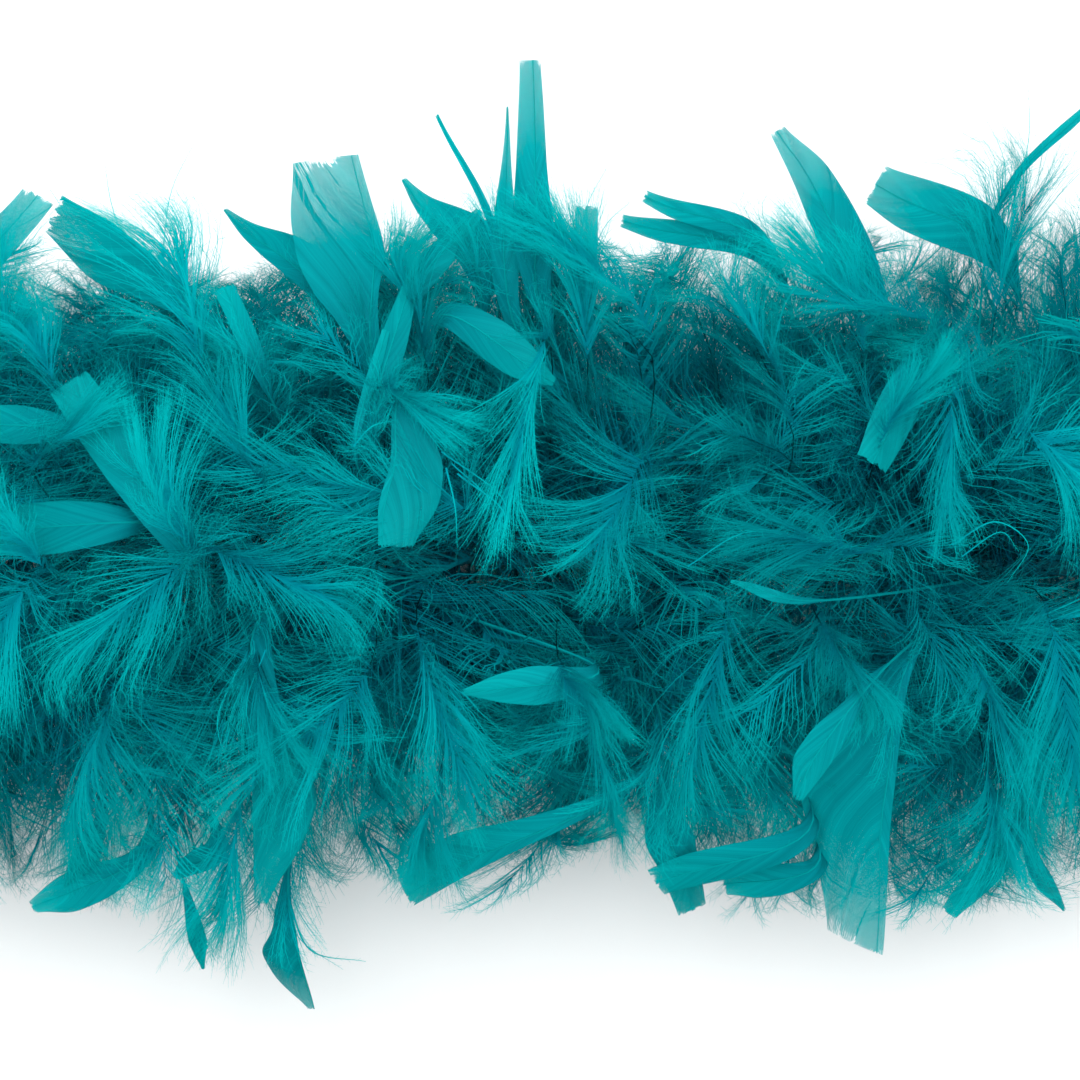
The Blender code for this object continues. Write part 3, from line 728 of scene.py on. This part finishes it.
def make_down(route, materials):
    for number, (node_name, start, end) in enumerate(whorl_stretches()):
        rng = np.random.default_rng(100 + number)
        cuts = np.linspace(start, end, 3 if near_photo(start, end) else 2)
        for part, (near, far) in enumerate(zip(cuts, cuts[1:])):
            batch = Batch()
            shown = abs(near + far) / 2 < SHOWN_REACH
            # The inner layer's lower tone is painted shade for the deep fluff near the core.
            layers = (
                (SHOWN if shown else PLAIN, 0.42, 0.22, (4, 80), 34),
                (SHOWN_INNER if shown else PLAIN_INNER, 0.25, 0.12, (10, 100), 0),
            )
            for look, tone, tone_spread, bends, laid in layers:
                count = max(1, round(look["feathers_per_m"] * (far - near)))
                feathers = scattered_feathers(rng, route, near, far, count, look["length"], bends, laid)
                fluff(batch, rng, *feathers, look, np.clip(rng.normal(tone, tone_spread, count), 0, 1))
            placed_plumes(batch, rng, route, near, far)
            piece = batch.build(node_name.replace("whorl", "plumage") + ("", "_far")[part], materials, "down")
            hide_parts(*((node_name,), ())[part])
            cross_joint(piece, route, start, end)


# ---------------------------------------------------------------- blade feathers

def blade_centreline(route, station, neck, tip):
    """A blade's points from the core to the tip, and the index where the vane begins."""
    base = route.point(station)
    along = route.along(station)
    outward = neck - base
    outward = unit(outward - along * outward.dot(along))
    controls = (base + outward * BLADE_ROOT_RADIUS, base + outward * LIFT_RADIUS * 0.55, neck, tip)
    return smooth_points(controls, BLADE_ROWS), 2 * BLADE_ROWS


class Vane:
    """A feather's flat part, read by t, 0 at the neck and 1 at the tip, and by the distance across it."""

    def __init__(self, rng, points, neck_row, left, right, quill_place):
        lengths = np.concatenate(((0.0,), np.cumsum(np.linalg.norm(np.diff(points, axis=0), axis=1))))
        self.length = lengths[-1] - lengths[neck_row]
        self.t = (lengths - lengths[neck_row]) / self.length
        self.points = points
        tangent = unit(np.gradient(points, axis=0))
        across = unit(square_to(np.cross(points[-1] - points[neck_row], UP), tangent))
        normal = np.cross(across, tangent)
        roll = (rng.uniform(-0.22, 0.22) + rng.uniform(-0.3, 0.3) * np.clip(self.t, 0, 1))[:, None]
        self.across = across * np.cos(roll) + normal * np.sin(roll)
        self.normal = normal * np.cos(roll) - across * np.sin(roll)
        self.left = self.smoothed(left)
        self.right = self.smoothed(right)
        self.quill = (self.right + self.left) * quill_place - self.left
        self.quill = self.quill * np.clip((self.t + 0.1) / 0.35, 0, 1) ** 1.5
        self.cup = 0.16 / max(0.002, (max(left) + max(right)) / 2000)

    def smoothed(self, reaches):
        """The vane's reach in metres at each of its points, from the table's millimetres."""
        places = np.linspace(-0.6, 1.3, 96)
        knots = (-0.45, -0.2, 0.0, 0.25, 0.5, 0.75, 1.0, 1.3)
        values = metres((0.2, 0.3 * reaches[0], 0.6 * reaches[0], *reaches, reaches[-1]))
        window = np.hanning(15)
        raw = np.pad(np.interp(places, knots, values), 6, mode="edge")
        return np.interp(self.t, places, np.convolve(raw, window[1:-1] / window.sum(), mode="valid"))

    def at(self, t, b):
        """The point at t, at distance b to the right of the line from neck to tip."""
        dip = -self.cup * (b - np.interp(t, self.t, self.quill)) ** 2
        axes = []
        for columns in zip(self.points.T, self.across.T, self.normal.T):
            spot, side, face = [np.interp(t, self.t, column) for column in columns]
            axes.append(spot + side * b + face * dip)
        return np.stack(axes, axis=-1)

    def barb(self, first, sweep, edge, cut):
        """A barb's points from the quill to the edge, cut where the vane ends."""
        last = np.clip((cut - first) / np.maximum(sweep, 1e-6), 0, 1) ** 0.8
        q = last[:, None] * np.linspace(0, 1, VANE_BARB_STEPS + 1)[None, :]
        t = first[:, None] + sweep[:, None] * q ** 1.25
        quill = np.interp(t, self.t, self.quill)
        return t, quill + (np.interp(t, self.t, edge) - quill) * q


def frayed(rng, count, clump, rough):
    """Uneven lengths in which neighbours go together."""
    knots = rng.normal(0, 1, max(3, count // clump + 2))
    wave = np.interp(np.arange(count) / clump, np.arange(len(knots)), knots)
    return rough * (wave + 0.5 * rng.normal(0, 1, count))


def vane(batch, rng, shape, pale):
    """The barbs of a vane, side by side. Towards the tip they thin out, and they part at a split or two."""
    for edge in (-shape.left, shape.right):
        reach = np.abs(edge - shape.quill)[shape.t > 0].max()
        if reach < 0.0004:
            continue
        slope = math.radians(24 if reach > 0.006 else 17)
        n = max(14, int(shape.length * 1.4 / VANE_BARB_SPACING))
        first = np.linspace(-0.42, 0.995, n + 1)
        cut = 1 + frayed(rng, n + 1, 9, 0.008 + 0.014 * pale)
        sweep = np.full(n + 1, min(0.75, reach / math.tan(slope) / shape.length))
        for split in rng.uniform(0.0, 0.8, rng.integers(1, 4)):
            sweep *= np.where(first > split, rng.uniform(0.86, 0.97), 1.0)
        low_t, low_b = shape.barb(first[:-1], sweep[:-1], edge, cut[:-1])
        high_t, high_b = shape.barb(first[1:], sweep[:-1], edge, cut[:-1])
        thinned = pale * 0.24 * np.clip((low_t - 0.5) / 0.5, 0, 1)
        closed = 1.03 - thinned - 0.04 * np.linspace(0, 1, VANE_BARB_STEPS + 1) ** 3
        upper = shape.at(low_t + (high_t - low_t) * closed, low_b + (high_b - low_b) * closed)
        grain = np.interp(np.arange(n) / 5, np.arange(n // 5 + 2), rng.normal(0, 1, n // 5 + 2))
        tone = 15 + 3.0 * grain + 2.5 * rng.normal(0, 1, n) + rng.normal(0, 2)
        column = np.clip(tone, 0, SHADE_COLUMNS - 1).astype(int)
        v = np.clip(np.stack((low_t, high_t), axis=2) * 0.7 + 0.25, 0.01, 0.99)
        batch.add_strips(np.stack((shape.at(low_t, low_b), upper), axis=2), column, v)


def blade_feather(batch, rng, route, station, neck, tip, reaches, quill_place=0.5, pale=0.12):
    """A vane with its quill. The reaches are one row for both sides, or one for each, the left one first."""
    points, neck_row = blade_centreline(route, station, neck, tip)
    shape = Vane(rng, points, neck_row, reaches[0], reaches[-1], quill_place)
    vane(batch, rng, shape, pale)
    quill = shape.at(shape.t, shape.quill)[None, ::4]
    radius = np.linspace(*BLADE_QUILL_RADII, quill.shape[1])
    slim_tubes(batch, quill, radius, 5, UP + np.array((0.01, 0.02, 0)), BLADE_QUILL_COLUMN, False)


def make_blades(route, materials):
    for number, (name, station, *shape) in enumerate(BLADES):
        rng = np.random.default_rng(500 + number)
        batch = Batch()
        pale = PALE_ENDS.get(name, 0.15)
        feathers = [(shape, QUILL_PLACES.get(name, 0.5))]
        feathers += [(other, 0.5) for host, *other in COMPANIONS if host == name]
        for (neck, tip, *reaches), quill_place in feathers:
            ends = (metres(neck), metres(tip))
            blade_feather(batch, rng, route, station / 1000, *ends, reaches, quill_place, pale)
        piece = batch.build(name + "_feather", materials, "blade")
        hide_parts(name)
        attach(piece, body_at(station / 1000))


def make_hidden_blades(route, materials):
    """Blades on the runs and bends away from the middle."""
    for number, (node_name, start, end) in enumerate(whorl_stretches()):
        if near_photo(start, end):
            continue
        rng = np.random.default_rng(900 + number)
        batch = Batch()
        for station in np.linspace(start, end, 9)[1:-1] + rng.uniform(-0.004, 0.004, 7):
            centre, along, across = route.frames(station)
            outward, onward = round_core(across, rng.uniform(-0.25, math.pi + 0.25))
            lean = along * rng.uniform(-1, 1) + onward * rng.uniform(-1, 1)
            neck = centre + outward * rng.uniform(0.062, 0.070)
            tip = neck + unit(lean + outward * 0.35) * rng.uniform(0.022, 0.040)
            tip[2] = min(tip[2], BLADE_TOP)
            width = rng.uniform(3.0, 7.0)
            ends = rng.choice((0.1, 0.6, 0.9))
            reaches = (width * 0.7, width, width * (0.8 + 0.1 * ends), width * ends)
            blade_feather(batch, rng, route, station, neck, tip, (reaches,))
        piece = batch.build(node_name.replace("down_whorl", "blades"), materials, "blade")
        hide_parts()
        cross_joint(piece, route, start, end)


# ---------------------------------------------------------------- the core and its ends

PLY_RADIUS = 0.00102
PLY_PITCH = 0.009
PLY_STEP = 0.0018
PATH_STEP = 0.012
CORE_BEND_REACH = 0.02
BINDING_START = 0.8886
BINDING_WIDTH = 0.0108
BINDING_TURNS = 22
BINDING_RADIUS = 0.0027
THREAD_RADIUS = 0.00032
KNOT_OFFSET = 0.0043
KNOT_TUBE_RADIUS = 0.0014


def add_ply(batch, route, start, end, phase):
    """One ply of the core, a helix round its centreline."""
    station = np.linspace(start, end, max(8, int((end - start) / PLY_STEP)))
    centre, _, across = route.frames(station)
    outward, _ = round_core(across, (2 * math.pi * station / PLY_PITCH + phase)[:, None])
    middle = centre + outward * PLY_RADIUS
    tangent = unit(np.gradient(middle, axis=0))
    side = unit(square_to(outward, tangent))
    round_tube(batch, middle, side, np.cross(tangent, side), PLY_RADIUS, 8)


def core_piece(name, route, start, end, materials, nodes, joint):
    batch = Batch()
    for ply in range(3):
        add_ply(batch, route, start, end, 2 * math.pi * ply / 3)
    piece = batch.build(name, materials, "core_cord")
    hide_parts(*nodes)
    bend_across(piece, route, joint, CORE_BEND_REACH)
    path = [tuple(p) for p in route.point(np.linspace(start, end, max(16, int((end - start) / PATH_STEP))))]
    if joint < 0:
        path = path[::-1]


def make_core(route, materials):
    bend_middle = (BEND_START + BEND_END) / 2
    run_middle = (BEND_END + TAIL_START) / 2
    middle_node = ("core_cord_middle",)
    core_piece("core_right_1", route, 0.0, bend_middle, materials, middle_node, BEND_START)
    core_piece("core_left_1", route, -bend_middle, 0.0, materials, (), -BEND_START)
    for side, sign in (("right", 1), ("left", -1)):
        for number, near, far, joint, stretches, far_end in (
                (2, bend_middle, run_middle, BEND_END, ("bend",), "object"),
                (3, run_middle, BOA_LENGTH / 2, TAIL_START, ("run", "tail"), "knot")):
            start, end = sorted((sign * near, sign * far))
            nodes = [f"core_cord_{side}_{stretch}" for stretch in stretches]
            core_piece(f"core_{side}_{number}", route, start, end, materials, nodes, sign * joint)


def wound_binding(route, side, sign, materials):
    """Thread wound round the core in close turns."""
    batch = Batch()
    count = BINDING_TURNS * 14
    centre, _, across = route.frames(sign * (BINDING_START + np.linspace(0, BINDING_WIDTH, count)))
    outward, _ = round_core(across, np.linspace(0, BINDING_TURNS * 2 * math.pi, count)[:, None])
    middle = centre + outward * BINDING_RADIUS
    tangent = unit(np.gradient(middle, axis=0))
    round_tube(batch, middle, outward, np.cross(tangent, outward), THREAD_RADIUS, 6)
    piece = batch.build(f"{side}_thread_binding", materials, "binding_thread")
    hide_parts(f"{side}_end_whipping")
    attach(piece, f"{side}_tail")


def overhand_knot(route, side, sign, materials):
    """The core's own end, tied in a tight overhand knot."""
    batch = Batch()
    centre, along, across = route.frames(sign * (BOA_LENGTH / 2 + KNOT_OFFSET))
    along = along * sign
    t = np.linspace(0, 2 * math.pi, 90)[:, None]
    x = np.sin(t) + 2 * np.sin(2 * t)
    y = np.cos(t) - 2 * np.cos(2 * t)
    z = -np.sin(3 * t)
    middle = centre + (across * x + UP * y) * 0.00098 + along * z * 0.0016
    tangent = unit(np.gradient(middle, axis=0))
    outward = unit(square_to(middle - centre, along))
    side_way = unit(square_to(outward, tangent))
    round_tube(batch, middle, side_way, np.cross(tangent, side_way), KNOT_TUBE_RADIUS, 10)
    piece = batch.build(f"{side}_knot", materials, "core_cord")
    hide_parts(f"{side}_end_knot")
    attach(piece, f"{side}_tail")


# ---------------------------------------------------------------- the studio

def area_light(name, energy, size, location):
    light = bpy.data.lights.new(name, "AREA")
    light.energy = energy
    light.size = size
    lamp = bpy.data.objects.new(name, light)
    lamp.location = location
    bpy.context.scene.collection.objects.link(lamp)
    return lamp


def make_studio():
    bpy.ops.mesh.primitive_plane_add(size=8.0, location=(0, 0, 0))
    floor = bpy.context.object
    floor.name = "studio_floor"
    material, tree = new_material("pale_floor")
    shader = node(tree, "ShaderNodeBsdfPrincipled", Base_Color=(0.95, 0.95, 0.95, 1.0), Roughness=0.9,
                  Specular_IOR_Level=0.1)
    node(tree, "ShaderNodeOutputMaterial", Surface=shader.outputs[0])
    floor.data.materials.append(material)

    world = bpy.data.worlds.new("soft_white")
    world.use_nodes = True
    background = world.node_tree.nodes["Background"]
    background.inputs["Color"].default_value = (1.0, 1.0, 1.0, 1.0)
    background.inputs["Strength"].default_value = 1.1
    bpy.context.scene.world = world

    key = area_light("key", 16.0, 1.0, (-0.15, 0.55, 1.4))
    key.rotation_euler = (Vector((0, 0, 0.05)) - key.location).to_track_quat("-Z", "Y").to_euler()
    area_light("fill", 6.0, 0.6, (0.05, 0.1, 1.45))

    lens = bpy.data.cameras.new("camera")
    lens.lens = 100.0
    lens.sensor_width = 36.0
    camera = bpy.data.objects.new("camera", lens)
    camera.location = (0, 0.0044, 0.747)
    bpy.context.scene.collection.objects.link(camera)
    bpy.context.scene.camera = camera
    bpy.context.scene.view_settings.view_transform = "Standard"


def main():
    route = Route()
    make_studio()
    materials = make_materials()
    make_core(route, materials)
    make_down(route, materials)
    make_blades(route, materials)
    make_hidden_blades(route, materials)
    for side, sign in (("right", 1), ("left", -1)):
        wound_binding(route, side, sign, materials)
        overhand_knot(route, side, sign, materials)


main()
